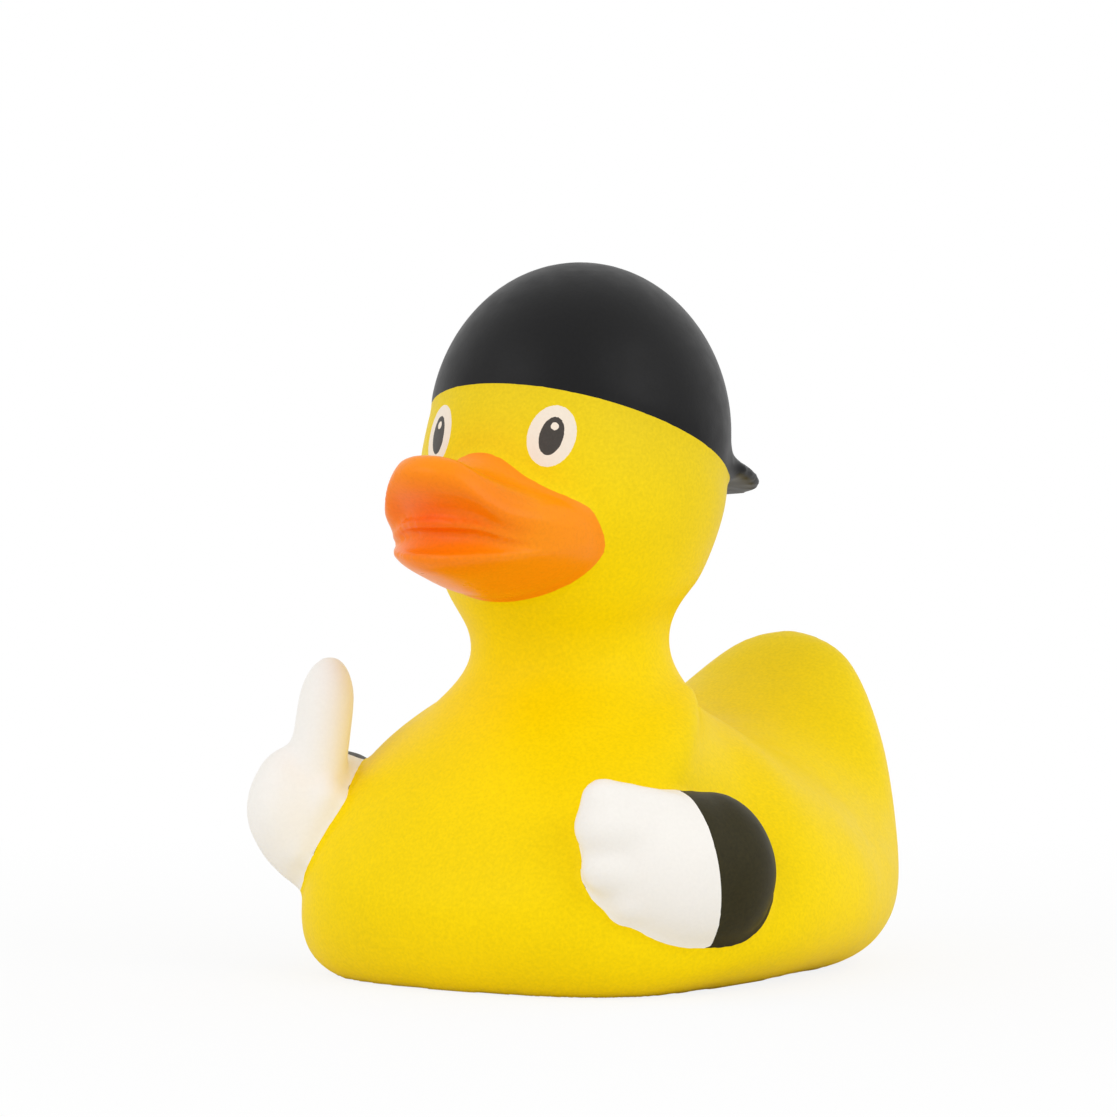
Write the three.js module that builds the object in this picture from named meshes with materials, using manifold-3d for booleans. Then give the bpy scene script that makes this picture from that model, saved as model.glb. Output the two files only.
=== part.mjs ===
// A vinyl bath duck about 85 mm tall, moulded in one piece: a hollow body, neck, head and tail,
// with its bill, its cap worn backwards and its two gloved arms standing out of the same skin.
// Millimetres, +Z up. The duck faces -Y and its left side is +X. The origin is on the flat base.
import * as THREE from "three";
import { LoftGeometry } from "three/addons/geometries/LoftGeometry.js";
import { mergeVertices } from "three/addons/utils/BufferGeometryUtils.js";
import Module from "manifold-3d";

const wasm = await Module();
wasm.setup();

// Driving dimensions
const WALL = 2.6; // thickness of the moulded skin
const VENT_RADIUS = 1.5; // air hole in the base
const VENT_Y = 12;
const HOLLOW_STATIONS = [1.2, 17.2]; // stations of the skin between which it is hollow
const CAP_TOP = 85; // the highest point of the duck
const CAP_TILT = THREE.MathUtils.degToRad(22); // its edge runs down towards the back

const point = (x, y, z) => new THREE.Vector3(x, y, z);

// A closed geometry as a solid that can be joined and cut
function solid(geometry) {
  const bare = new THREE.BufferGeometry();
  bare.setAttribute("position", geometry.getAttribute("position"));
  bare.setIndex(geometry.index);
  const merged = mergeVertices(bare, 1e-4);
  return new wasm.Manifold(
    new wasm.Mesh({
      numProp: 3,
      vertProperties: new Float32Array(merged.getAttribute("position").array),
      triVerts: new Uint32Array(merged.index.array),
    }),
  );
}

// A skin drawn through rings of points, closed at both ends
function loft(rings) {
  return solid(new LoftGeometry(rings, { capStart: true, capEnd: true }));
}

// Evenly spaced numbers from 0 to 1
const steps = (count) => Array.from({ length: count + 1 }, (_, i) => i / count);

// Body, neck and head are one sweep from the tail's tip to the crown. At each station a section
// runs from the back line to the belly line, both in the plane of symmetry.
const STATIONS = [
  // back y, z, belly y, z, half width, widest point (-1 belly to 1 back), fullness (1 is an ellipse)
  [44.4, 38.9, 45.4, 37.7, 0.6, 0, 1],
  [40.6, 38.6, 45.7, 31.8, 8.9, 0, 1],
  [33.2, 33.6, 42.8, 19.4, 16.6, -0.04, 1.03],
  [25.1, 29.8, 35.2, 3.2, 23.2, -0.18, 1.08],
  [18.0, 28.8, 22.0, -1.5, 28.6, -0.3, 1.06],
  [13.0, 29.8, 4.5, -2.0, 32.6, -0.33, 1.01],
  [9.5, 32.0, -14.0, -2.1, 33.2, -0.35, 1],
  [7.5, 34.0, -29.0, -1.1, 28.8, -0.36, 1],
  [6.2, 36.0, -35.2, 8.4, 24.0, -0.3, 1],
  [5.3, 37.8, -31.6, 18.6, 19.6, -0.15, 1],
  [4.8, 39.0, -25.2, 27.4, 15.4, -0.05, 1],
  [4.8, 40.6, -18.8, 34.6, 12.4, 0, 1],
  [6.5, 44.0, -17.8, 39.6, 12.2, 0, 1],
  [10.8, 49.0, -20.8, 45.6, 15.3, 0, 1],
  [13.9, 57.0, -24.4, 54.5, 17.9, 0, 1],
  [13.6, 64.5, -23.8, 63.5, 17.5, 0, 1],
  [11.6, 73.0, -20.0, 73.0, 15.2, 0, 1],
  [6.6, 79.6, -14.4, 79.6, 9.8, 0, 1],
  [-2.6, 82.8, -5.0, 82.8, 1.2, 0, 1],
];

const LINES = [0, 2, 4, 5].map(
  (i) => new THREE.SplineCurve(STATIONS.map((s) => new THREE.Vector2(s[i], s[i + 1]))),
);

function skinRing(station, sideCount) {
  const u = station / (STATIONS.length - 1);
  const [back, belly, wide, shape] = LINES.map((line) => line.getPoint(u));
  const half = back.clone().sub(belly).divideScalar(2);
  const middle = back.clone().add(belly).divideScalar(2);
  const full = (value) => Math.sign(value) * Math.abs(value) ** (1 / shape.y);
  return steps(sideCount)
    .slice(0, -1)
    .map((turn) => {
      const angle = -turn * 2 * Math.PI;
      const across = full(Math.sin(angle));
      const along = full(Math.cos(angle)) + shape.x * across * across;
      return point(wide.x * across, middle.x + half.x * along, middle.y + half.y * along);
    });
}

function skin(ringCount, sideCount) {
  const last = STATIONS.length - 1;
  return loft(steps(ringCount).map((u) => skinRing(u * last, sideCount))).trimByPlane([0, 0, 1], 0);
}

// The inside follows the skin at the wall's thickness, short of the tail's tip and the crown
function hollow(ringCount, sideCount) {
  const [first, last] = HOLLOW_STATIONS;
  const outer = steps(ringCount).map((u) => skinRing(first + (last - first) * u, sideCount));
  const normals = new LoftGeometry(outer).getAttribute("normal");
  const inner = outer.map((ring, i) =>
    ring.map((p, j) => {
      const out = new THREE.Vector3().fromBufferAttribute(normals, i * (sideCount + 1) + j);
      return p.clone().addScaledVector(out, -WALL);
    }),
  );
  return loft(inner).trimByPlane([0, 0, 1], WALL);
}

// The bill is swept from its right corner to its left one through upright slices. This is the
// middle slice: over the top to the turned-up lip, in to the mouth, out to the lower lip, to the chin.
const BILL_SLICE = [
  [-14.0, 61.0],
  [-22.4, 62.8],
  [-27.5, 61.0],
  [-32.0, 61.5],
  [-35.3, 62.2],
  [-36.9, 60.2],
  [-36.3, 57.8],
  [-33.9, 55.8],
  [-31.7, 54.2],
  [-33.1, 53.2],
  [-34.7, 52.2],
  [-34.8, 50.6],
  [-30.0, 47.9],
  [-22.5, 45.4],
  [-14.0, 46.0],
  [-11.0, 53.0],
];
// The same slice with the lips together, as they are towards the corners
const BILL_SHUT = BILL_SLICE.map(([y, z], i) => [i > 6 && i < 11 ? -36.4 + (i - 7) * 0.5 : y, z]);
const BILL_HALF_WIDTH = 12.9;
const BILL_CORNER_Y = -15.5;
const BILL_CORNER_Z = 52.6;

function bill(ringCount, sideCount) {
  const [open, shut] = [BILL_SLICE, BILL_SHUT].map(
    (slice) => new THREE.CatmullRomCurve3(slice.map(([y, z]) => point(0, y, z)), true),
  );
  const rings = steps(ringCount).map((u) => {
    const side = Math.sin((u - 0.5) * Math.PI * 0.985); // -1 at the right corner, 1 at the left
    const soft = (Math.hypot(side, 0.14) - 0.14) / 0.87;
    const reach = (1 - side ** 2) ** 0.5;
    const over = (1 - soft) ** 0.5;
    const under = (1 - side ** 2) ** 0.7;
    const closed = THREE.MathUtils.smoothstep(Math.abs(side), 0.35, 1);
    return steps(sideCount)
      .slice(0, -1)
      .map((turn) => {
        const p = open.getPoint(turn).lerp(shut.getPoint(turn), closed);
        const rise = p.z - BILL_CORNER_Z;
        return point(
          BILL_HALF_WIDTH * side,
          BILL_CORNER_Y + (p.y - BILL_CORNER_Y) * reach,
          BILL_CORNER_Z + rise * (rise > 0 ? over : under),
        );
      });
  });
  return loft(rings);
}

// The cap is part of an upright egg. Its rings lean with its edge and come level at the top.
const CAP_CENTRE = point(0, -3.8, 64.5);
const CAP_HALF_WIDTH = 18.0;
const CAP_HALF_DEPTH = 18.5;
const CAP_EDGE_Z = -0.4; // height of the edge over the centre, on the axis

function capRing(rise, lean, grow, sideCount) {
  const high = CAP_TOP - CAP_CENTRE.z;
  const slope = (Math.tan(lean) * CAP_HALF_DEPTH) / high;
  const normal = point(0, slope, 1).normalize();
  const away = Math.min(1, rise / high / Math.hypot(slope, 1));
  const radius = Math.sqrt(1 - away * away) * grow;
  const second = normal.clone().cross(point(1, 0, 0));
  return steps(sideCount)
    .slice(0, -1)
    .map((turn) => {
      const angle = turn * 2 * Math.PI;
      return normal
        .clone()
        .multiplyScalar(away)
        .addScaledVector(point(1, 0, 0), radius * Math.cos(angle))
        .addScaledVector(second, radius * Math.sin(angle))
        .multiply(point(CAP_HALF_WIDTH, CAP_HALF_DEPTH, high))
        .add(CAP_CENTRE);
    });
}

function dome(ringCount, sideCount) {
  const high = CAP_TOP - CAP_CENTRE.z;
  const first = Math.asin(CAP_EDGE_Z / high);
  const rings = [
    capRing(CAP_EDGE_Z - 0.3, CAP_TILT, 0.88, sideCount),
    capRing(CAP_EDGE_Z, CAP_TILT, 0.985, sideCount),
  ];
  for (const u of steps(ringCount)) {
    const turn = first + 0.02 + (Math.PI / 2 - 0.04 - first) * u;
    rings.push(capRing(high * Math.sin(turn), CAP_TILT * (1 - u), 1, sideCount));
  }
  return loft(rings);
}

// The brim lies in the plane of the cap's edge and runs into the dome with a hollow fillet.
// Each ring: height over that plane, then how far the outline is drawn in.
const BRIM_RINGS = [
  [-0.9, 4.0],
  [-0.6, 1.0],
  [-0.3, 0.3],
  [0.2, 0],
  [0.7, 0.3],
  [1.0, 1.2],
  [1.3, 4.0],
  [1.9, 7.2],
  [3.0, 9.8],
  [5.0, 12.2],
  [7.0, 14.0],
];
const BRIM_MIDDLE = 8; // behind the cap's axis
const BRIM_REACH = 22;
const BRIM_HALF_WIDTH = 15.6;
const BRIM_DROOP = 0.005; // its sides hang down
const BRIM_TILT = THREE.MathUtils.degToRad(15);

function brim(sideCount) {
  const rings = BRIM_RINGS.map(([rise, inset]) =>
    steps(sideCount)
      .slice(0, -1)
      .map((turn) => {
        const angle = turn * 2 * Math.PI;
        const x = (BRIM_HALF_WIDTH - inset * 0.6) * Math.cos(angle);
        const back = BRIM_MIDDLE + (BRIM_REACH - inset) * Math.sin(angle);
        return point(x, back, rise - BRIM_DROOP * x * x)
          .applyAxisAngle(point(1, 0, 0), -BRIM_TILT)
          .add(CAP_CENTRE)
          .add(point(0, 0, CAP_EDGE_Z));
      }),
  );
  return loft(rings);
}

// An arm lies along the flank. In its own frame x runs forwards along the arm, y outwards and z up.
const ARM_YAW = THREE.MathUtils.degToRad(62); // its outward direction, from straight ahead
const CUFF = point(25.1, -18.7, 14.5); // middle of the left cuff

function placed(p, side, lift) {
  const outX = Math.sin(ARM_YAW);
  const outY = -Math.cos(ARM_YAW);
  return point(
    side * (CUFF.x + p.x * outY + p.y * outX),
    CUFF.y - p.x * outX + p.y * outY,
    CUFF.z + lift + p.z,
  );
}

// A round bar through stations: x, y, z, half thickness outwards, half height
function limb(stations, side, lift, ringCount, sideCount) {
  const spine = new THREE.CatmullRomCurve3(stations.map(([x, y, z]) => point(x, y, z)));
  const girth = new THREE.SplineCurve(stations.map((s) => new THREE.Vector2(s[3], s[4])));
  const rings = steps(ringCount).map((u) => {
    const middle = spine.getPoint(u);
    const ahead = spine.getTangent(u);
    const across = point(0, 1, 0).addScaledVector(ahead, -ahead.y).normalize();
    const upward = ahead.clone().cross(across);
    const size = girth.getPoint(u);
    return steps(sideCount)
      .slice(0, -1)
      .map((turn) => {
        const angle = side * turn * 2 * Math.PI;
        const p = middle
          .clone()
          .addScaledVector(across, size.x * Math.cos(angle))
          .addScaledVector(upward, size.y * Math.sin(angle));
        return placed(p, side, lift);
      });
  });
  return loft(rings);
}

const SLEEVE = [
  [-8.6, -1.0, 0, 1.0, 1.0],
  [-7.6, -0.4, 0, 5.0, 5.8],
  [-4.5, 0.2, 0, 7.2, 8.4],
  [0.0, 0.4, 0, 7.6, 8.8],
  [2.0, 0.4, 0, 7.4, 8.6],
];
const FIST_BACK = [
  [-1.4, 0.4, 0, 6.9, 8.3],
  [1.5, 0.6, 0, 8.0, 9.0],
  [5.5, 0.4, 0.4, 7.5, 9.0],
  [9.0, -0.2, 1.4, 6.2, 7.4],
  [11.5, -0.8, 2.0, 4.0, 5.0],
  [12.6, -1.0, 2.0, 0.8, 1.0],
];
// Each finger of the left fist: height, then where it ends along the arm
const FIST_FINGERS = [
  [7.8, 14.8],
  [3.8, 15.6],
  [-0.4, 14.4],
  [-4.6, 10.8],
];
const FIST_FINGER_RADIUS = 3.1;

function finger(from, to, radius, side, lift) {
  const way = to.clone().sub(from);
  const stations = [-1, -0.7, 0, 0.5, 1, 1.7, 2].map((k) => {
    const end = k < 0 ? k : Math.max(0, k - 1);
    const on = from
      .clone()
      .addScaledVector(way, THREE.MathUtils.clamp(k, 0, 1))
      .addScaledVector(way.clone().normalize(), end * radius);
    const size = radius * Math.max(0.12, Math.sqrt(1 - end * end));
    return [on.x, on.y, on.z, size, size];
  });
  return limb(stations, side, lift, 12, 14);
}

const RAISED_LIFT = 3.5; // the right arm sits higher than the left one
const sleeves = [1, -1].map((side) => limb(SLEEVE, side, side > 0 ? 0 : RAISED_LIFT, 10, 24));
const fist = [
  limb(FIST_BACK, 1, 0, 10, 24),
  ...FIST_FINGERS.map(([z, end]) => {
    const r = FIST_FINGER_RADIUS;
    return finger(point(5, 3.4, z * 0.85), point(end - r, 2.8, z), r, 1, 0);
  }),
];
const RAISED_BACK = [
  [-1.4, 0.8, 0, 6.6, 8.2],
  [1.5, 1.6, 0.4, 7.4, 8.6],
  [5.5, 3.4, 0.6, 6.4, 8.6],
  [9.0, 4.0, 0.8, 5.0, 7.2],
  [11.0, 4.2, 0.8, 2.6, 4.0],
  [11.6, 4.2, 0.8, 0.6, 1.0],
];
const RAISED_KNUCKLES = [
  [7.5, 4.6, 9.9, 0.6, 0.6],
  [7.5, 5.0, 9.0, 2.4, 2.4],
  [7.5, 5.6, 6.0, 3.8, 3.8],
  [7.5, 6.0, 1.0, 4.2, 4.2],
  [7.5, 4.2, -4.0, 3.6, 3.6],
  [7.3, 2.6, -7.2, 2.0, 2.0],
  [7.2, 2.2, -8.0, 0.6, 0.6],
];
const raised = [
  limb(RAISED_BACK, -1, RAISED_LIFT, 12, 24),
  finger(point(6.5, 2.6, 3), point(6.0, 0.4, 16.6), 3.3, -1, RAISED_LIFT),
  limb(RAISED_KNUCKLES, -1, RAISED_LIFT, 14, 14),
  finger(point(9.5, -0.6, 6.2), point(9.5, 3.2, -2.0), 2.7, -1, RAISED_LIFT),
];

const ZONES = {
  skin: skin(60, 36),
  bill: bill(20, 40),
  cap: dome(12, 40).add(brim(40)),
  sleeve: sleeves[0].add(sleeves[1]),
  glove: [...fist, ...raised].reduce((whole, piece) => whole.add(piece)),
};
const ventBar = new THREE.CylinderGeometry(VENT_RADIUS, VENT_RADIUS, 4 * WALL, 24);
const vent = solid(ventBar.rotateX(Math.PI / 2).translate(0, VENT_Y, 0));
const whole = Object.values(ZONES).reduce((sum, piece) => sum.add(piece));
const duck = whole.subtract(hollow(36, 24)).subtract(vent);

const mesh = duck.getMesh();
const geometry = new THREE.BufferGeometry();
geometry.setAttribute("position", new THREE.BufferAttribute(mesh.vertProperties, 3));
geometry.setIndex(new THREE.BufferAttribute(mesh.triVerts, 1));

const group = new THREE.Group();
const material = new THREE.MeshStandardMaterial({ color: 0xf6d000, roughness: 0.5, metalness: 0 });
const body = new THREE.Mesh(geometry, material);
body.name = "duck";
group.add(body);

export default group;
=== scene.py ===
import bmesh
import bpy
import numpy as np
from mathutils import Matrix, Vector
from mathutils.bvhtree import BVHTree


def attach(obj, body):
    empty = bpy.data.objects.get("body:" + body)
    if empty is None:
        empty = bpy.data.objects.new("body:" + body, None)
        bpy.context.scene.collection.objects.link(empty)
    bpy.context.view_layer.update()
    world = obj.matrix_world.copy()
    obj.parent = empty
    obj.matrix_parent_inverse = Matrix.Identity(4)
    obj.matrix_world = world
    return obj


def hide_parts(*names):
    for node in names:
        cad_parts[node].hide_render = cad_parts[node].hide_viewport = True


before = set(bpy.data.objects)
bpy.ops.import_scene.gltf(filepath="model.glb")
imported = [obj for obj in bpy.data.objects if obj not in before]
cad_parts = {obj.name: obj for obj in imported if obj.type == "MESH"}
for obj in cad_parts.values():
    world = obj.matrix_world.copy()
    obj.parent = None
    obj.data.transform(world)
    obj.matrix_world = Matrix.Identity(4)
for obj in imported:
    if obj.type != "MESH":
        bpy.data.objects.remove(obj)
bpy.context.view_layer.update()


# Skin: body, tail, neck and head of the duck, a soft yellow vinyl shell. It is cast in one piece
# with everything else on the duck, in a heated mould that is filled and tipped out again.
# Sizes are in millimetres until the finished mesh is scaled to metres.
SKIN_STATIONS = np.array([
    # back y, z, belly y, z, half width, widest point (-1 belly to 1 back), fullness
    [44.4, 38.9, 45.4, 37.7, 0.6, 0, 1],
    [40.6, 38.6, 45.7, 31.8, 8.9, 0, 1],
    [33.2, 33.6, 42.8, 19.4, 16.6, -0.04, 1.03],
    [25.1, 29.8, 35.2, 3.2, 23.2, -0.18, 1.08],
    [18.0, 28.8, 22.0, -1.5, 28.6, -0.3, 1.06],
    [13.0, 29.8, 4.5, -2.0, 32.6, -0.33, 1.01],
    [9.5, 32.0, -14.0, -2.1, 33.2, -0.35, 1],
    [7.5, 34.0, -29.0, -1.1, 28.8, -0.36, 1],
    [6.2, 36.0, -35.2, 8.4, 24.4, -0.3, 1],
    [5.3, 37.8, -31.6, 18.6, 21.0, -0.15, 1],
    [4.8, 39.0, -25.2, 27.4, 14.9, -0.05, 1],
    [4.8, 40.6, -18.8, 34.6, 12.2, 0, 1],
    [6.5, 44.0, -17.8, 39.6, 12.2, 0, 1],
    [10.8, 49.0, -20.8, 45.6, 15.3, 0, 1],
    [13.9, 57.0, -24.4, 54.5, 17.9, 0, 1],
    [13.6, 64.5, -23.8, 63.5, 17.5, 0, 1],
    [11.6, 73.0, -20.0, 73.0, 15.2, 0, 1],
    [6.6, 79.6, -14.4, 79.6, 9.8, 0, 1],
    [-2.6, 82.8, -5.0, 82.8, 1.2, 0, 1],
])
SKIN_RINGS, SKIN_SIDES = 300, 220


def spline(rows, at):
    """A smooth line through rows, read at numbers from 0 to len(rows) - 1."""
    rows = np.asarray(rows, float)
    at = np.atleast_1d(np.asarray(at, float))
    i = np.clip(np.floor(at).astype(int), 0, len(rows) - 2)
    t = (at - i)[:, None]
    before, here = rows[np.maximum(i - 1, 0)], rows[i]
    there, after = rows[i + 1], rows[np.minimum(i + 2, len(rows) - 1)]
    leave, arrive = (there - before) / 2, (after - here) / 2
    return (
        (2 * t**3 - 3 * t**2 + 1) * here + (t**3 - 2 * t**2 + t) * leave
        + (3 * t**2 - 2 * t**3) * there + (t**3 - t**2) * arrive
    )


def lofted(rings):
    """Vertices and faces of a closed skin through rings of points, flat at both ends."""
    rings = np.asarray(rings, float)
    count, sides = rings.shape[:2]
    ring = np.arange(count - 1)[:, None] * sides
    side = np.arange(sides)[None, :]
    beside = (side + 1) % sides
    walls = np.stack([ring + side, ring + beside, ring + sides + beside, ring + sides + side], -1)
    faces = walls.reshape(-1, 4).tolist()
    faces.append(list(range(sides))[::-1])
    faces.append(list(range((count - 1) * sides, count * sides)))
    return rings.reshape(-1, 3), faces


def skin_rings(stations, sides):
    """Rings of points round the skin at these stations, which may lie between the rows."""
    rows = spline(SKIN_STATIONS, stations)
    back, belly = rows[:, None, 0:2], rows[:, None, 2:4]
    wide, skew, full = rows[:, 4:5], rows[:, 5:6], rows[:, 6:7]
    angle = -np.linspace(0, 2 * np.pi, sides, endpoint=False)[None, :]
    across = np.sign(np.sin(angle)) * np.abs(np.sin(angle)) ** (1 / full)
    along = np.sign(np.cos(angle)) * np.abs(np.cos(angle)) ** (1 / full) + skew * across**2
    upright = (back + belly) / 2 + (back - belly) / 2 * along[..., None]
    return np.concatenate([(wide * across)[..., None], upright], -1)


skin_points = skin_rings(np.linspace(0, len(SKIN_STATIONS) - 1, SKIN_RINGS), SKIN_SIDES)
skin_points[..., 2] = np.maximum(skin_points[..., 2], 0)
moulded = {"skin": [lofted(skin_points)]}


# Bill: part of the same casting, sprayed orange through a mask. It is broad and short, with a
# turned-up upper lip, a shallow mouth and a lower lip, and runs back to a corner on each cheek.
BILL_SLICE = np.array([
    # y, z of the middle slice: over the top, round the turned-up lip, in to the hollow under it, out
    # to the lip's lower edge, in to the mouth, out to the lower lip, back along the chin
    [-14.0, 61.0], [-22.4, 62.8], [-27.5, 60.6], [-32.0, 61.5], [-35.3, 62.2], [-36.9, 60.4],
    [-36.1, 58.6], [-34.4, 57.0], [-33.2, 55.6], [-33.8, 54.1], [-32.3, 53.3], [-32.6, 52.3],
    [-33.4, 51.3], [-34.5, 50.4], [-33.6, 49.2], [-29.0, 47.2], [-22.5, 45.4], [-14.0, 46.0],
    [-11.0, 53.0],
])
# the same slice at the corners, where the lips close and the lip's turned-up rim has died out
BILL_SHUT = BILL_SLICE.copy()
BILL_SHUT[1:6] = [[-22.4, 63.4], [-28.5, 63.2], [-32.6, 62.0], [-35.3, 60.4], [-36.6, 58.4]]
BILL_SHUT[6:14] = [[-36.6, 56.6], [-35.9, 54.6], [-35.3, 52.8], [-34.9, 51.6], [-34.6, 51.0],
                   [-34.2, 50.6], [-34.3, 50.3], [-34.6, 49.9]]
BILL_RIM = np.arange(len(BILL_SLICE)) < 6
BILL_HALF_WIDTH = 13.0
BILL_UPPER_EDGE = np.array([
    # share of the half width, share of the height that is left there
    [0, 1], [0.15, 0.97], [0.3, 0.87], [0.45, 0.7], [0.64, 0.52], [0.81, 0.4], [0.93, 0.32],
    [0.985, 0.17], [1, 0],
])
BILL_LIP_EDGE = np.array([
    [0, 1], [0.15, 0.985], [0.3, 0.93], [0.45, 0.8], [0.58, 0.62], [0.7, 0.49], [0.85, 0.38],
    [0.985, 0.17], [1, 0],
])
BILL_CORNER = (-15.5, 52.4)
BILL_RINGS, BILL_SIDES = 110, 180
BILL_LAST_RING = 0.985  # of the quarter turn out to a corner
BILL_REACH_POWER, BILL_CHIN_POWER = 0.5, 0.6
# shares of the half width where the slice starts to change into the shut one, and over which
BILL_CHANGE_FROM, BILL_CHANGE_OVER = np.where(BILL_RIM, 0.25, 0.35), 0.6
BILL_LIP_FROM, BILL_LIP_OVER = -26, 8


def closed_line(points, at):
    """A smooth closed line through points that turns evenly at uneven spacing, read at 0 to 1."""
    count = len(points)
    place = np.asarray(at) * count
    i = np.floor(place).astype(int)
    t = (place - i)[:, None]
    a, b, c, d = (points[(i + k) % count] for k in (-1, 0, 1, 2))
    step_a, step_b, step_c = (
        np.linalg.norm(q - p, axis=1)[:, None] ** 0.5 for p, q in ((a, b), (b, c), (c, d)))
    leave = ((b - a) / step_a - (c - a) / (step_a + step_b) + (c - b) / step_b) * step_b
    arrive = ((c - b) / step_b - (d - b) / (step_b + step_c) + (d - c) / step_c) * step_b
    return (
        (2 * t**3 - 3 * t**2 + 1) * b + (t**3 - 2 * t**2 + t) * leave
        + (3 * t**2 - 2 * t**3) * c + (t**3 - t**2) * arrive
    )


bill_rings = []
edges_across = [
    spline(rows, np.linspace(0, len(rows) - 1, 200)) for rows in (BILL_UPPER_EDGE, BILL_LIP_EDGE)]
around = np.linspace(0, 1, BILL_SIDES, endpoint=False)
for u in np.linspace(-0.5, 0.5, BILL_RINGS):
    side = np.sin(u * np.pi * BILL_LAST_RING)
    reach, under = (1 - side**2) ** BILL_REACH_POWER, (1 - side**2) ** BILL_CHIN_POWER
    change = np.clip((abs(side) - BILL_CHANGE_FROM) / BILL_CHANGE_OVER, 0, 1)[:, None]
    change = change * change * (3 - 2 * change)
    slice_yz = closed_line(BILL_SLICE + (BILL_SHUT - BILL_SLICE) * change, around)
    rise = slice_yz[:, 1] - BILL_CORNER[1]
    on_lip = np.clip((BILL_LIP_FROM - slice_yz[:, 0]) / BILL_LIP_OVER, 0, 1)
    at_root, at_lip = (np.interp(abs(side), *line.T) for line in edges_across)
    over = at_root + on_lip * (at_lip - at_root)
    bill_rings.append(np.stack([
        np.full(len(around), BILL_HALF_WIDTH * side),
        BILL_CORNER[0] + (slice_yz[:, 0] - BILL_CORNER[0]) * reach,
        BILL_CORNER[1] + rise * np.where(rise > 0, over, under),
    ], -1))
moulded["bill"] = [lofted(bill_rings)]


# Cap: cast with the head and sprayed black. It is a plain dome worn back to front, standing a
# little proud of the head, with its edge running down to the back and the brim over the nape.
CAP_CENTRE = np.array([0, -3.8, 64.5])
CAP_HALF = np.array([18.0, 18.5, 20.5])
CAP_EDGE = -1.1
CAP_TILT = np.radians(22)
CAP_TURNED_IN = ((-0.3, 0.88), (0, 0.985))  # rise from the edge, growth of the ring there
CAP_RINGS, CAP_SIDES, CAP_STEP = 80, 200, 0.02
BRIM_PROFILE = np.array([
    # height over the brim's plane, how far the outline is drawn in
    [-0.9, 4.0], [-0.6, 1.0], [-0.3, 0.3], [0.2, 0], [0.7, 0.3], [1.0, 1.2],
    [1.3, 4.0], [1.9, 7.2], [3.0, 9.8], [5.0, 12.2], [7.0, 14.0],
])
BRIM_MIDDLE, BRIM_REACH, BRIM_HALF_WIDTH = 8.0, 22.0, 15.6
BRIM_RISE = 0.2
BRIM_DROOP = 0.005
BRIM_TILT = np.radians(15)
BRIM_RINGS, BRIM_SIDE_INSET = 60, 0.6


def cap_ring(rise, lean, grow):
    """The ring that a plane leaning down to the back cuts out of the cap's egg shape."""
    slope = np.tan(lean) * CAP_HALF[1] / CAP_HALF[2]
    normal = np.array([0, slope, 1]) / np.hypot(slope, 1)
    away = min(1, rise / CAP_HALF[2] / np.hypot(slope, 1))
    second = np.cross(normal, [1, 0, 0])
    turn = np.linspace(0, 2 * np.pi, CAP_SIDES, endpoint=False)[:, None]
    radius = np.sqrt(1 - away**2) * grow
    unit = normal * away + radius * (np.cos(turn) * [1, 0, 0] + np.sin(turn) * second)
    return unit * CAP_HALF + CAP_CENTRE


cap_first = np.arcsin(CAP_EDGE / CAP_HALF[2])
dome_rings = [cap_ring(CAP_EDGE + rise, CAP_TILT, grow) for rise, grow in CAP_TURNED_IN]
for u in np.linspace(0, 1, CAP_RINGS):
    turn = cap_first + CAP_STEP + (np.pi / 2 - 2 * CAP_STEP - cap_first) * u
    dome_rings.append(cap_ring(CAP_HALF[2] * np.sin(turn), CAP_TILT * (1 - u), 1))
brim_rings = []
brim_turn = np.linspace(0, 2 * np.pi, CAP_SIDES, endpoint=False)
for rise, inset in spline(BRIM_PROFILE, np.linspace(0, len(BRIM_PROFILE) - 1, BRIM_RINGS)):
    x = (BRIM_HALF_WIDTH - inset * BRIM_SIDE_INSET) * np.cos(brim_turn)
    back = BRIM_MIDDLE + (BRIM_REACH - inset) * np.sin(brim_turn)
    up = rise - BRIM_DROOP * x**2
    brim_rings.append(np.stack([
        x,
        back * np.cos(BRIM_TILT) + up * np.sin(BRIM_TILT),
        up * np.cos(BRIM_TILT) - back * np.sin(BRIM_TILT) + BRIM_RISE,
    ], -1) + CAP_CENTRE)
moulded["cap"] = [lofted(dome_rings)]
moulded["brim"] = [lofted(brim_rings)]


# Arms: short sleeves sprayed dark olive and gloved hands sprayed white, cast on the flanks. The
# left hand is a fist with the fingers curled forward; the right hand raises one finger.
ARM_YAW = np.radians(62)
CUFF = np.array([25.1, -18.7, 14.5])
RAISED_LIFT, RAISED_SLEEVE_DROP = 3.5, 0.8
SLEEVE = [
    # along the arm, outwards, up, half thickness, half height
    [-9.4, -1.0, 0, 1.0, 1.0], [-8.2, -0.4, -0.1, 5.0, 6.2], [-4.8, 0.2, -0.2, 7.3, 8.9],
    [0.0, 0.4, -0.2, 7.6, 9.1], [2.0, 0.4, -0.1, 7.2, 8.6],
]
FIST_BACK = [
    [-1.8, 0.4, -0.1, 7.4, 9.1], [1.5, 0.6, 0.2, 8.0, 9.2], [5.5, 0.5, 1.4, 7.5, 8.4],
    [9.0, 0.0, 2.2, 6.4, 6.9], [11.5, -0.6, 2.8, 4.2, 5.0], [12.6, -0.8, 2.8, 0.8, 1.0],
]
FIST_FINGERS = [
    # height at its root and at its end, where it ends along the arm, radius
    [6.9, 8.7, 14.9, 2.6], [4.2, 5.6, 15.6, 3.6], [0.6, 1.0, 14.8, 3.2], [-2.4, -2.7, 11.6, 2.8],
]
FIST_ROOT, FIST_END_OUT = (4, 3.6), 2.9
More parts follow.
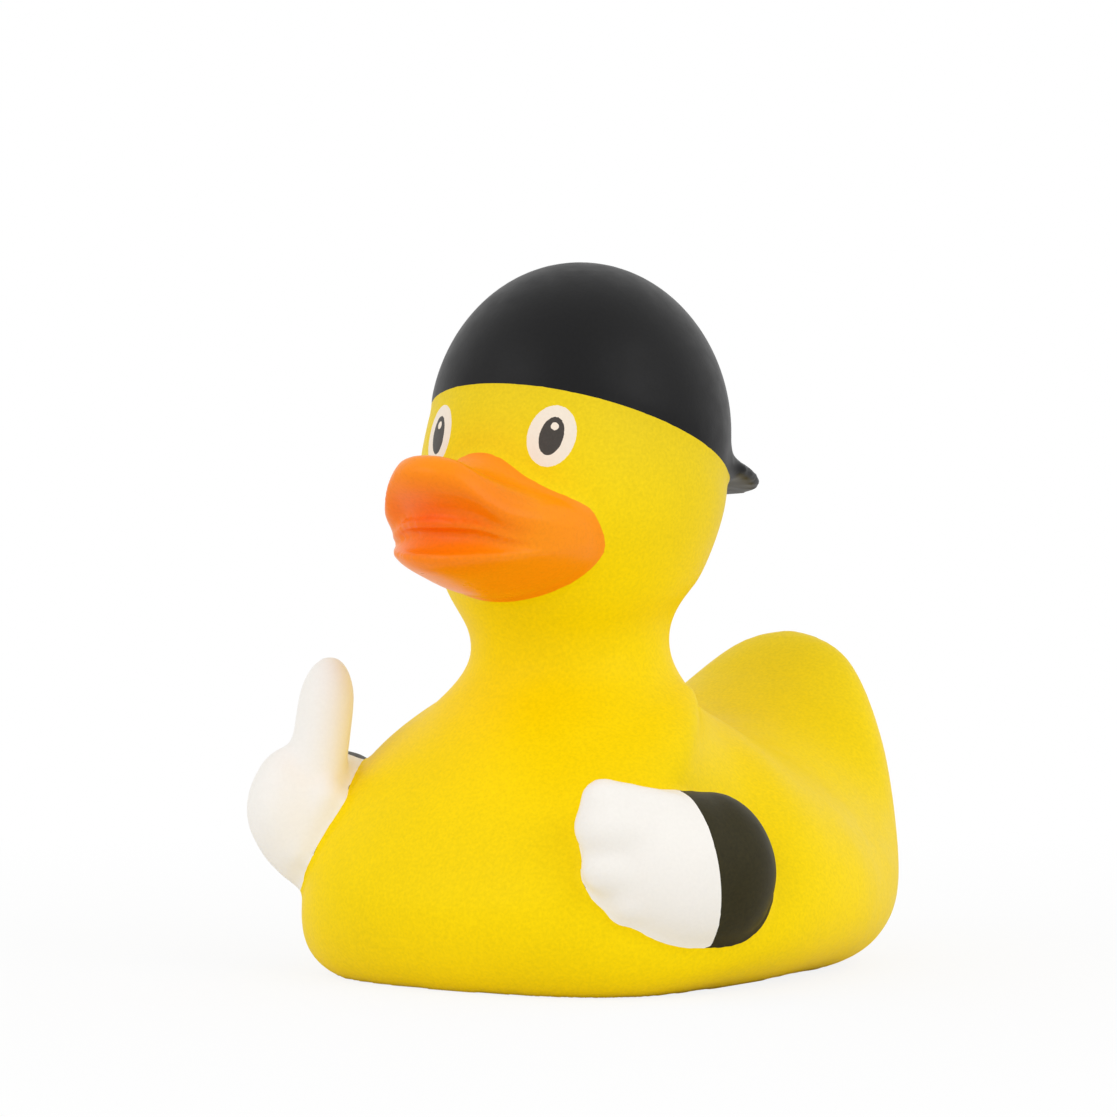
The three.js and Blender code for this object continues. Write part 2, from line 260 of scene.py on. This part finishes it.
RAISED_BACK = [
    [-1.4, 0.8, -0.4, 6.6, 8.0], [1.5, 1.6, 0.2, 7.4, 8.4], [5.5, 3.4, 1.0, 6.4, 7.8],
    [9.0, 4.0, 1.2, 5.0, 6.4], [11.0, 4.2, 1.2, 2.6, 4.0], [11.6, 4.2, 1.2, 0.6, 1.0],
]
RAISED_KNUCKLES = [
    [7.5, 4.2, 8.7, 0.6, 0.6], [7.5, 4.6, 8.0, 2.2, 2.2], [7.5, 5.2, 5.4, 3.6, 3.6],
    [7.5, 5.6, 1.0, 4.2, 4.2], [7.2, 3.7, -4.0, 3.1, 3.1], [7.0, 2.2, -6.7, 1.8, 1.8],
    [6.9, 1.9, -7.5, 0.6, 0.6],
]
# start and end of a finger, its radius at each and the length of its tip
RAISED_FINGER = ([6.9, 2.4, -1.0], [6.2, 0.5, 14.0], (3.6, 3.4), 6.2)
RAISED_THUMB = ([9.0, 0.2, 3.6], [9.3, 3.2, -3.0], (2.3, 2.1), 2.1)
ARM_RINGS, ARM_SIDES, TIP_RINGS = 60, 72, 12


def bar(rows, hand, lift):
    """A round bar through dense rows, on the left arm (hand 1) or the right one (hand -1)."""
    rows = np.asarray(rows, float)
    ahead = np.gradient(rows[:, :3], axis=0)
    ahead /= np.linalg.norm(ahead, axis=1)[:, None]
    across = np.array([0, 1, 0]) - ahead * ahead[:, 1:2]
    across /= np.linalg.norm(across, axis=1)[:, None]
    upward = np.cross(ahead, across)
    turn = hand * np.linspace(0, 2 * np.pi, ARM_SIDES, endpoint=False)[None, :, None]
    p = (
        rows[:, None, :3] + across[:, None] * rows[:, None, 3:4] * np.cos(turn)
        + upward[:, None] * rows[:, None, 4:5] * np.sin(turn)
    )
    out_x, out_y = np.sin(ARM_YAW), -np.cos(ARM_YAW)
    return lofted(np.stack([
        hand * (CUFF[0] + p[..., 0] * out_y + p[..., 1] * out_x),
        CUFF[1] - p[..., 0] * out_x + p[..., 1] * out_y,
        CUFF[2] + lift + p[..., 2],
    ], -1))


def limb(stations, hand, lift):
    """A bar that runs smoothly through its stations."""
    return bar(spline(stations, np.linspace(0, len(stations) - 1, ARM_RINGS)), hand, lift)


def finger(start, end, radii, tip, hand, lift):
    """A straight finger from one radius to the other, with a round root and a tip of that length."""
    start, end = np.array(start, float), np.array(end, float)
    long = np.linalg.norm(end - start)
    turns = np.linspace(-0.49 * np.pi, 0, TIP_RINGS)
    past = [radii[0] * np.sin(t) for t in turns]
    size = [radii[0] * np.cos(t) for t in turns]
    for share in np.linspace(0.1, 0.9, 9):
        past.append(long * share)
        size.append(radii[0] + (radii[1] - radii[0]) * share)
    past += [long - tip * np.sin(t) for t in turns[::-1]]
    size += [radii[1] * np.cos(t) for t in turns[::-1]]
    rows = [[*(start + (end - start) / long * p), r, r] for p, r in zip(past, size)]
    return bar(rows, hand, lift)


moulded["sleeve"] = [limb(SLEEVE, 1, 0), limb(SLEEVE, -1, RAISED_LIFT - RAISED_SLEEVE_DROP)]
moulded["glove"] = [limb(FIST_BACK, 1, 0)]
for root, height, reach, r in FIST_FINGERS:
    end = [reach - r, FIST_END_OUT, height]
    moulded["glove"].append(finger([*FIST_ROOT, root], end, (r, r), r, 1, 0))
moulded["glove"] += [
    limb(RAISED_BACK, -1, RAISED_LIFT),
    finger(*RAISED_FINGER, -1, RAISED_LIFT),
    limb(RAISED_KNUCKLES, -1, RAISED_LIFT),
    finger(*RAISED_THUMB, -1, RAISED_LIFT),
]


# The casting: skin, bill, cap and arms are one vinyl wall, so they are made one mesh here, and
# the corners where they meet are rounded as the mould rounds them.
GRAIN = 0.64
BASE_HEIGHT = 0.06
EASE = 0.5  # how far a point moves to the middle of its neighbours in one round
EVEN_ROUNDS, CORNER_ROUNDS, BRIM_ROUNDS, NAPE_ROUNDS, BILL_ROUNDS = 3, 5, 20, 150, 2
CORNER_WITHIN, GLOVE_WITHIN, BRIM_WITHIN, BILL_WITHIN = 1.6, 1.2, 2.2, 1.2
NAPE, NAPE_SIZE, NAPE_WITHIN = (0, 4, 39), (8, 5, 4), 2.5
FINE_BILL, FINE_OFF_SKIN = 0.6, 0.7
OWN_FROM, OWN_OVER = 0.9, 1.4


def joined(shells, name):
    """One mesh of several shells, still lying in one another."""
    points, faces = [], []
    for shell_points, shell_faces in shells:
        start = sum(len(p) for p in points)
        points.append(shell_points)
        faces += [[start + i for i in face] for face in shell_faces]
    mesh = bpy.data.meshes.new(name)
    mesh.from_pydata(np.concatenate(points).tolist(), [], faces)
    return mesh


shells = [shell for zone in moulded.values() for shell in zone]
duck = bpy.data.objects.new("duck_body", joined(shells, "duck_body"))
bpy.context.scene.collection.objects.link(duck)
remesh = duck.modifiers.new("one wall", "REMESH")
remesh.mode = "VOXEL"
remesh.voxel_size = GRAIN
whole = bpy.data.meshes.new_from_object(duck.evaluated_get(bpy.context.evaluated_depsgraph_get()))
duck.modifiers.clear()
duck.data = whole
whole.name = "duck_body"


def taken(mesh):
    """A mesh's points, its edges and how many edges meet at each point."""
    points, edges = np.empty(len(mesh.vertices) * 3), np.empty(len(mesh.edges) * 2, int)
    mesh.vertices.foreach_get("co", points)
    mesh.edges.foreach_get("vertices", edges)
    edges = edges.reshape(-1, 2)
    return points.reshape(-1, 3), edges, np.bincount(edges.ravel())


def eased(points, edges, neighbours, weight, rounds):
    """Moves each point towards the middle of its neighbours, by its own weight."""
    on_base = points[:, 2] < BASE_HEIGHT
    for _ in range(rounds):
        total = np.stack([
            np.bincount(edges[:, 0], points[edges[:, 1], k], len(points))
            + np.bincount(edges[:, 1], points[edges[:, 0], k], len(points))
            for k in range(3)
        ], -1)
        points = points + weight[:, None] * (total / neighbours[:, None] - points)
        points[:, 2] = np.where(on_base, 0, np.maximum(points[:, 2], 0))
    return points


def tree_of(shells):
    """A search tree over the faces of several shells."""
    starts = np.cumsum([0] + [len(p) for p, _ in shells[:-1]])
    faces = [[start + i for i in face] for (_, faces), start in zip(shells, starts) for face in faces]
    return BVHTree.FromPolygons(np.concatenate([p for p, _ in shells]).tolist(), faces)


def gaps(points):
    """Distance of each point to the nearest shell of each zone."""
    return {
        zone: np.array([tree.find_nearest(p)[3] for p in points.tolist()])
        for zone, tree in trees.items()
    }


trees = {zone: tree_of(shells) for zone, shells in moulded.items()}
points, edges, neighbours = taken(whole)
points = eased(points, edges, neighbours, np.full(len(points), EASE), EVEN_ROUNDS)
gap = gaps(points)
beside_skin = np.min([gap["bill"], gap["sleeve"], gap["cap"]], axis=0)
soft_corner = np.clip(CORNER_WITHIN - np.maximum(gap["skin"], beside_skin), 0, 1)
on_glove = np.clip(GLOVE_WITHIN - gap["glove"] * 2, 0, 1)
points = eased(points, edges, neighbours, EASE * np.maximum(soft_corner, on_glove), CORNER_ROUNDS)
under_brim = np.maximum(gap["brim"], np.minimum(gap["cap"], gap["skin"]))
brim_corner = np.clip(BRIM_WITHIN - under_brim, 0, 1)
nape = np.clip(NAPE_WITHIN - np.linalg.norm((points - NAPE) / NAPE_SIZE, axis=1), 0, 1)
points = eased(points, edges, neighbours, EASE * brim_corner, BRIM_ROUNDS)
points = eased(points, edges, neighbours, EASE * nape, NAPE_ROUNDS)
whole.vertices.foreach_set("co", points.ravel())

# the bill's small forms need a finer mesh, laid back on the bill's own shape
shape = bmesh.new()
shape.from_mesh(whole)
on_bill = (gap["bill"] < FINE_BILL) & (gap["skin"] > FINE_OFF_SKIN)
fine = [e for e in shape.edges if all(on_bill[v.index] for v in e.verts)]
bmesh.ops.subdivide_edges(shape, edges=fine, cuts=1, use_grid_fill=True)
shape.to_mesh(whole)
shape.free()
points, edges, neighbours = taken(whole)
gap = gaps(points)
own = np.clip((gap["skin"] - OWN_FROM) / OWN_OVER, 0, 1) * (gap["bill"] < BILL_WITHIN)
for i in np.flatnonzero(own > 0):
    points[i] += own[i] * (np.array(trees["bill"].find_nearest(points[i])[0]) - points[i])
points = eased(points, edges, neighbours, EASE * (gap["bill"] < BILL_WITHIN), BILL_ROUNDS)
gap = gaps(points)
whole.vertices.foreach_set("co", points.ravel())
whole.update()


# Paint: the bill, cap, gloves and sleeves are sprayed through masks whose edges follow the
# moulded corners, and the eyes are printed with a soft pad. Borders are cut into the mesh.
EYE_CENTRE = np.array([8.15, -21.4, 64.4])
EYE_FACING = np.array([0.42, -0.9, 0.1])
EYE_TILT = {1: np.radians(15), -1: np.radians(12)}
EYE_PRINTS = {
    # half width and half height, shift across and up
    "eye_white": ((2.83, 3.68), (0, 0)), "eye_pupil": ((1.4, 2.33), (0, 0)),
    "eye_glint": ((0.47, 0.47), (0.05, 1.2)),
}
PAINTS = ["yellow_vinyl", "bill_orange", "cap_black", "sleeve_olive", "glove_white",
          "eye_white", "eye_pupil"]
CUFF_LEAN = 0.15
SPREAD, ARM_SPREAD = 0.05, 0.1  # how far a paint runs past the corner
BRIM_SEARCH = 2
SOFT_EDGES = (("bill_orange", 3), ("sleeve_olive", 8), ("glove_white", 2))
SNAP, EYE_SNAP = 0.06, 0.03  # points this near to a border are taken to lie on it
EYE_MARGIN, EYE_CUTS = 0.9, 3

outer, forward = abs(points[:, 0]) - CUFF[0], points[:, 1] - CUFF[1]
along_arm = -outer * np.cos(ARM_YAW) - forward * np.sin(ARM_YAW)
off_arm = outer * np.sin(ARM_YAW) - forward * np.cos(ARM_YAW)
cuff_line = np.maximum(0, 1 - off_arm) - CUFF_LEAN * (points[:, 2] - CUFF[2])
past_cuff = along_arm + (points[:, 0] > 0) * cuff_line
slope = np.tan(CAP_TILT) * CAP_HALF[1] / CAP_HALF[2]
cap_up = [0, slope / CAP_HALF[1], 1 / CAP_HALF[2]]
over_edge = (points - CAP_CENTRE) @ cap_up * CAP_HALF[2] - CAP_EDGE
on_arm = gap["skin"] - np.minimum(gap["sleeve"], gap["glove"]) + ARM_SPREAD
on_brim = np.minimum(gap["skin"], BRIM_SEARCH) - gap["brim"] + SPREAD
fields = {
    "bill_orange": gap["skin"] - gap["bill"] + SPREAD,
    "cap_black": np.maximum(over_edge, on_brim),
    "sleeve_olive": on_arm,
    "glove_white": np.minimum(on_arm, past_cuff),
}
for name, rounds in SOFT_EDGES:
    values = fields[name]
    for _ in range(rounds):
        beside = np.bincount(edges[:, 0], values[edges[:, 1]], len(values))
        beside += np.bincount(edges[:, 1], values[edges[:, 0]], len(values))
        values = (values + beside / neighbours) / 2
    fields[name] = values


def printed(points, size, shift):
    """How far inside the nearer eye's oval of this size and shift each point lies."""
    nearest = np.full(len(points), 2.0)
    for hand in (1, -1):
        facing = EYE_FACING * [hand, 1, 1] / np.linalg.norm(EYE_FACING)
        up = np.array([0, 0, 1]) - facing * facing[2]
        up /= np.linalg.norm(up)
        right = np.cross(up, facing)
        away = points - EYE_CENTRE * [hand, 1, 1]
        lean = hand * EYE_TILT[hand]
        across = away @ right * np.cos(lean) - away @ up * np.sin(lean) - shift[0]
        along = away @ right * np.sin(lean) + away @ up * np.cos(lean) - shift[1]
        oval = (np.hypot(across / size[0], along / size[1]) - 1) * min(size)
        nearest = np.minimum(nearest, np.where(away @ facing > -4, oval, 2.0))
    return -nearest


shape = bmesh.new()
shape.from_mesh(whole)
layers = {name: shape.verts.layers.float.new(name) for name in [*fields, *EYE_PRINTS]}
for name, values in fields.items():
    for vert, value in zip(shape.verts, values.tolist()):
        vert[layers[name]] = value
at_eye = printed(points, *EYE_PRINTS["eye_white"]) > -EYE_MARGIN
near_eye = [e for e in shape.edges if all(at_eye[v.index] for v in e.verts)]
bmesh.ops.subdivide_edges(shape, edges=near_eye, cuts=EYE_CUTS, use_grid_fill=True)
finer = np.array([vert.co for vert in shape.verts])
for name, (size, shift) in EYE_PRINTS.items():
    for vert, value in zip(shape.verts, printed(finer, size, shift).tolist()):
        vert[layers[name]] = value
for paint, name in [(p, p) for p in PAINTS[1:]] + [("eye_white", "eye_glint")]:
    layer = layers[name]
    for vert in shape.verts:
        if abs(vert[layer]) < (EYE_SNAP if name in EYE_PRINTS else SNAP):
            vert[layer] = 0
    for edge in [e for e in shape.edges if e.verts[0][layer] * e.verts[1][layer] < 0]:
        a, b = edge.verts
        share = a[layer] / (a[layer] - b[layer])
        mixed = {l: a[l] * (1 - share) + b[l] * share for l in layers.values()}
        mixed[layer] = 0
        _, new = bmesh.utils.edge_split(edge, a, share)
        for l, value in mixed.items():
            new[l] = value
    for face in list(shape.faces):
        levels = [v[layer] for v in face.verts]
        if min(levels) < 0 < max(levels):
            border = [v for v in face.verts if v[layer] == 0]
            if len(border) == 2:
                bmesh.utils.face_split(face, border[0], border[1])
    for face in shape.faces:
        levels = [v[layer] for v in face.verts]
        if max(levels) > 0 and min(levels) >= 0:
            face.material_index = PAINTS.index(paint)
for name in layers:
    shape.verts.layers.float.remove(shape.verts.layers.float[name])
bmesh.ops.triangulate(shape, faces=[f for f in shape.faces if len(f.verts) > 4])
for face in shape.faces:
    face.smooth = True
bmesh.ops.scale(shape, vec=(0.001, 0.001, 0.001), verts=shape.verts)
shape.to_mesh(whole)
shape.free()

# painted shade: the orange is painted redder and darker in the hollow under the upper lip, where
# shade falls
BILL_SHADE_CENTRE, BILL_SHADE_SIZE = (-0.0005, -0.0335, 0.0548), (0.0135, 0.012, 0.0075)
BILL_PAINTED_SHADE = (0.98, 0.13, 0.0, 1)
# and painted shade: a duller, darker yellow on the head just under the cap's edge, where the cap
# shades it
CAP_SHADE, CAP_SHADE_SHARE, CAP_SHADE_REACH = (0.5, 0.42, 0.05, 1), 0.3, 0.02
BUMP_STRENGTH, BUMP_DEPTH = 0.12, 0.00006

finish = bpy.data.node_groups.new("moulded finish", "ShaderNodeTree")
for name, kind, way in (
    ("Paint", "NodeSocketColor", "INPUT"), ("Mottle", "NodeSocketFloat", "INPUT"),
    ("Matt", "NodeSocketFloat", "INPUT"), ("Color", "NodeSocketColor", "OUTPUT"),
    ("Roughness", "NodeSocketFloat", "OUTPUT"), ("Height", "NodeSocketFloat", "OUTPUT"),
):
    finish.interface.new_socket(name, in_out=way, socket_type=kind)
nodes, links = finish.nodes, finish.links
given, made = nodes.new("NodeGroupInput"), nodes.new("NodeGroupOutput")
where = nodes.new("ShaderNodeTexCoord")
noises = {}
for name, scale, detail in (("cloud", 55, 3), ("grain", 2600, 2), ("smear", 420, 2)):
    noises[name] = nodes.new("ShaderNodeTexNoise")
    noises[name].inputs["Scale"].default_value = scale
    noises[name].inputs["Detail"].default_value = detail
    links.new(where.outputs["Object"], noises[name].inputs["Vector"])


def reckon(operation, a, b):
    """A Math node of the group that is being built, fed by sockets or numbers."""
    node = nodes.new("ShaderNodeMath")
    node.operation = operation
    for socket, value in zip(node.inputs, (a, b)):
        if isinstance(value, (int, float)):
            socket.default_value = value
        else:
            links.new(value, socket)
    return node.outputs[0]


cloud = reckon("SUBTRACT", noises["cloud"].outputs["Fac"], 0.5)
grain = reckon("SUBTRACT", noises["grain"].outputs["Fac"], 0.5)
smear = reckon("SUBTRACT", noises["smear"].outputs["Fac"], 0.5)
uneven = reckon("ADD", reckon("MULTIPLY", cloud, 0.6), grain)
shade = reckon("ADD", reckon("MULTIPLY", uneven, given.outputs["Mottle"]), 1)
tinted = nodes.new("ShaderNodeVectorMath")
tinted.operation = "SCALE"
links.new(given.outputs["Paint"], tinted.inputs[0])
links.new(shade, tinted.inputs["Scale"])
links.new(tinted.outputs[0], made.inputs["Color"])
polish = reckon("ADD", reckon("MULTIPLY", reckon("ADD", cloud, smear), 0.16), given.outputs["Matt"])
links.new(polish, made.inputs["Roughness"])
links.new(reckon("ADD", grain, reckon("MULTIPLY", smear, 2)), made.inputs["Height"])

for paint, colour, mottle, matt, gloss in (
    ("yellow_vinyl", (0.955, 0.69, 0.0), 0.26, 0.45, 0.07),
    ("bill_orange", (0.99, 0.29, 0.002), 0.22, 0.32, 0.18),
    ("cap_black", (0.0055, 0.0055, 0.006), 0.6, 0.42, 0.18),
    ("sleeve_olive", (0.028, 0.023, 0.006), 0.8, 0.5, 0.16),
    ("glove_white", (0.93, 0.9, 0.85), 0.06, 0.46, 0.2),
    ("eye_white", (0.9, 0.8, 0.67), 0.08, 0.4, 0.2),
    ("eye_pupil", (0.06, 0.052, 0.045), 0.4, 0.4, 0.2),
):
    material = bpy.data.materials.new(paint)
    material.use_nodes = True
    nodes, links = material.node_tree.nodes, material.node_tree.links
    shader = nodes["Principled BSDF"]
    surface = nodes.new("ShaderNodeGroup")
    surface.node_tree = finish
    surface.inputs["Paint"].default_value = (*colour, 1)
    surface.inputs["Mottle"].default_value = mottle
    surface.inputs["Matt"].default_value = matt
    bump = nodes.new("ShaderNodeBump")
    bump.inputs["Strength"].default_value = BUMP_STRENGTH
    bump.inputs["Distance"].default_value = BUMP_DEPTH
    if paint == "bill_orange":
        # painted shade: a redder, darker orange is mixed in towards the middle of the hollow under
        # the upper lip
        where, away = nodes.new("ShaderNodeTexCoord"), nodes.new("ShaderNodeMapping")
        away.vector_type = "TEXTURE"
        away.inputs["Location"].default_value = BILL_SHADE_CENTRE
        away.inputs["Scale"].default_value = BILL_SHADE_SIZE
        hollow_shade = nodes.new("ShaderNodeTexGradient")
        hollow_shade.gradient_type = "SPHERICAL"
        hollow_shade_mix = nodes.new("ShaderNodeMix")
        hollow_shade_mix.data_type = "RGBA"
        hollow_shade_mix.inputs["A"].default_value = (*colour, 1)
        hollow_shade_mix.inputs["B"].default_value = BILL_PAINTED_SHADE
        links.new(where.outputs["Object"], away.inputs["Vector"])
        links.new(away.outputs["Vector"], hollow_shade.inputs["Vector"])
        links.new(hollow_shade.outputs["Fac"], hollow_shade_mix.inputs["Factor"])
        links.new(hollow_shade_mix.outputs["Result"], surface.inputs["Paint"])
    if paint == "yellow_vinyl":
        # painted shade: the yellow is mixed towards a dull dark olive just under the cap's edge
        where, away = nodes.new("ShaderNodeTexCoord"), nodes.new("ShaderNodeMapping")
        away.vector_type = "TEXTURE"
        away.inputs["Location"].default_value = np.multiply(CAP_CENTRE, 0.001)
        height = nodes.new("ShaderNodeVectorMath")
        height.operation = "DOT_PRODUCT"
        height.inputs[1].default_value = (0, slope / CAP_HALF[1] * CAP_HALF[2], 1)
        under = nodes.new("ShaderNodeMapRange")
        under.inputs["From Min"].default_value = -CAP_SHADE_REACH
        under.inputs["From Max"].default_value = 0
        under.inputs["To Max"].default_value = CAP_SHADE_SHARE
        cap_shade_mix = nodes.new("ShaderNodeMix")
        cap_shade_mix.data_type = "RGBA"
        cap_shade_mix.inputs["A"].default_value = (*colour, 1)
        cap_shade_mix.inputs["B"].default_value = CAP_SHADE
        links.new(where.outputs["Object"], away.inputs["Vector"])
        links.new(away.outputs["Vector"], height.inputs[0])
        links.new(height.outputs["Value"], under.inputs["Value"])
        links.new(under.outputs["Result"], cap_shade_mix.inputs["Factor"])
        links.new(cap_shade_mix.outputs["Result"], surface.inputs["Paint"])
    links.new(surface.outputs["Color"], shader.inputs["Base Color"])
    links.new(surface.outputs["Roughness"], shader.inputs["Roughness"])
    links.new(surface.outputs["Height"], bump.inputs["Height"])
    links.new(bump.outputs["Normal"], shader.inputs["Normal"])
    shader.inputs["Specular IOR Level"].default_value = gloss
    whole.materials.append(material)


# Inside: the casting is hollow, with an even wall and a vent through the base that lets the air
# out when the duck is squeezed. Both are cut out of the painted mesh.
WALL = 2.6
HOLLOW_FROM, HOLLOW_TO = 1.2, 17.2
HOLLOW_RINGS, HOLLOW_SIDES, HOLLOW_GRAIN = 120, 96, 2.0
VENT_RADIUS, VENT_Y, VENT_SIDES = 1.5, 12.0, 48
VENT_SPAN = (-2.0, 2 * WALL)

inner = skin_rings(np.linspace(HOLLOW_FROM, HOLLOW_TO, HOLLOW_RINGS), HOLLOW_SIDES)
round_it = np.roll(inner, -1, 1) - np.roll(inner, 1, 1)
outward = np.cross(round_it, np.gradient(inner, axis=0))
inner -= WALL * outward / np.linalg.norm(outward, axis=-1, keepdims=True)
inner[..., 2] = np.maximum(inner[..., 2], WALL)
turn = np.linspace(0, 2 * np.pi, VENT_SIDES, endpoint=False)
vent_x, vent_y = VENT_RADIUS * np.cos(turn), VENT_Y + VENT_RADIUS * np.sin(turn)
vent = np.stack([np.stack([vent_x, vent_y, np.full(VENT_SIDES, z)], -1) for z in VENT_SPAN])
for name, shell, voxel in (("hollow", lofted(inner), HOLLOW_GRAIN), ("vent", lofted(vent), None)):
    cutter = bpy.data.objects.new(name, joined([shell], name))
    bpy.context.scene.collection.objects.link(cutter)
    cutter.scale = (0.001, 0.001, 0.001)
    cutter.data.materials.append(whole.materials[0])
    if voxel:
        melt = cutter.modifiers.new("even", "REMESH")
        melt.mode = "VOXEL"
        melt.voxel_size = voxel
    take = duck.modifiers.new(name, "BOOLEAN")
    take.operation = "DIFFERENCE"
    take.solver = "MANIFOLD"
    take.object = cutter
    bpy.context.view_layer.update()
    hollowed = bpy.data.meshes.new_from_object(
        duck.evaluated_get(bpy.context.evaluated_depsgraph_get()))
    duck.modifiers.clear()
    duck.data = hollowed
    bpy.data.objects.remove(cutter)
whole = duck.data
whole.name = "duck_body"
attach(duck, "root")
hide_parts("duck")


# Floor: a plain pale paper sheet under the duck, which keeps its shadow, with soft light all
# round it and a lamp on either side.
FLOOR_CORNERS, FLOOR_Z = ((-3, -3), (3, -3), (3, 3), (-3, 3)), -0.0001
LAMP_TARGET = Vector((0, 0, 0.04))

floor_mesh = bpy.data.meshes.new("floor")
floor_mesh.from_pydata([(x, y, FLOOR_Z) for x, y in FLOOR_CORNERS], [], [(0, 1, 2, 3)])
floor = bpy.data.objects.new("floor", floor_mesh)
bpy.context.scene.collection.objects.link(floor)
paper = bpy.data.materials.new("floor_paper")
paper.use_nodes = True
nodes, links = paper.node_tree.nodes, paper.node_tree.links
matt = nodes["Principled BSDF"]
matt.inputs["Base Color"].default_value = (0.9, 0.9, 0.9, 1)
matt.inputs["Roughness"].default_value = 0.9
matt.inputs["Specular IOR Level"].default_value = 0.1
bright = nodes.new("ShaderNodeEmission")
seen = nodes.new("ShaderNodeLightPath")
where = nodes.new("ShaderNodeTexCoord")
away = nodes.new("ShaderNodeVectorMath")
away.operation = "LENGTH"
links.new(where.outputs["Object"], away.inputs[0])
fade = nodes.new("ShaderNodeMapRange")
for name, value in (("From Min", 0.04), ("From Max", 0.2), ("To Min", 0.86), ("To Max", 1.0)):
    fade.inputs[name].default_value = value
links.new(away.outputs["Value"], fade.inputs["Value"])
share = nodes.new("ShaderNodeMath")
share.operation = "MULTIPLY"
links.new(seen.outputs["Is Camera Ray"], share.inputs[0])
links.new(fade.outputs["Result"], share.inputs[1])
mixed = nodes.new("ShaderNodeMixShader")
links.new(share.outputs[0], mixed.inputs["Fac"])
links.new(matt.outputs["BSDF"], mixed.inputs[1])
links.new(bright.outputs["Emission"], mixed.inputs[2])
links.new(mixed.outputs["Shader"], nodes["Material Output"].inputs["Surface"])
floor_mesh.materials.append(paper)

world = bpy.data.worlds.new("studio")
bpy.context.scene.world = world
world.use_nodes = True
nodes, links = world.node_tree.nodes, world.node_tree.links
seen = nodes.new("ShaderNodeLightPath")
either = nodes.new("ShaderNodeMath")
either.operation = "MAXIMUM"
links.new(seen.outputs["Is Camera Ray"], either.inputs[0])
links.new(seen.outputs["Is Glossy Ray"], either.inputs[1])
level = nodes.new("ShaderNodeMapRange")
level.inputs["To Min"].default_value = 0.8
level.inputs["To Max"].default_value = 1.0
through = nodes.new("ShaderNodeMath")
through.operation = "MAXIMUM"
links.new(either.outputs[0], through.inputs[0])
links.new(seen.outputs["Is Transmission Ray"], through.inputs[1])
links.new(through.outputs[0], level.inputs["Value"])
links.new(level.outputs["Result"], nodes["Background"].inputs["Strength"])
nodes["Background"].inputs["Color"].default_value = (1, 1, 1, 1)
for name, place, size, power in (
    ("window_light", (-0.6, -1.5, 0.9), 1.2, 5), ("side_light", (1.5, -0.1, 0.9), 1.2, 6),
):
    lamp = bpy.data.lights.new(name, "AREA")
    lamp.size = size
    lamp.energy = power
    lamp_object = bpy.data.objects.new(name, lamp)
    bpy.context.scene.collection.objects.link(lamp_object)
    lamp_object.location = place
    aim = LAMP_TARGET - Vector(place)
    lamp_object.rotation_euler = aim.to_track_quat("-Z", "Y").to_euler()


# Camera: in front of the duck's left shoulder and about level with its head, with a long lens
# that takes in the whole duck.
camera = bpy.data.objects.new("camera", bpy.data.cameras.new("camera"))
bpy.context.scene.collection.objects.link(camera)
camera.location = (0.3687, -0.5349, 0.07095)
aim = Vector((-0.0039, -0.00273, 0.0494)) - camera.location
camera.rotation_euler = aim.to_track_quat("-Z", "Y").to_euler()
camera.data.sensor_width = 36
camera.data.lens = 173.9
bpy.context.scene.camera = camera
bpy.context.scene.view_settings.view_transform = "Standard"
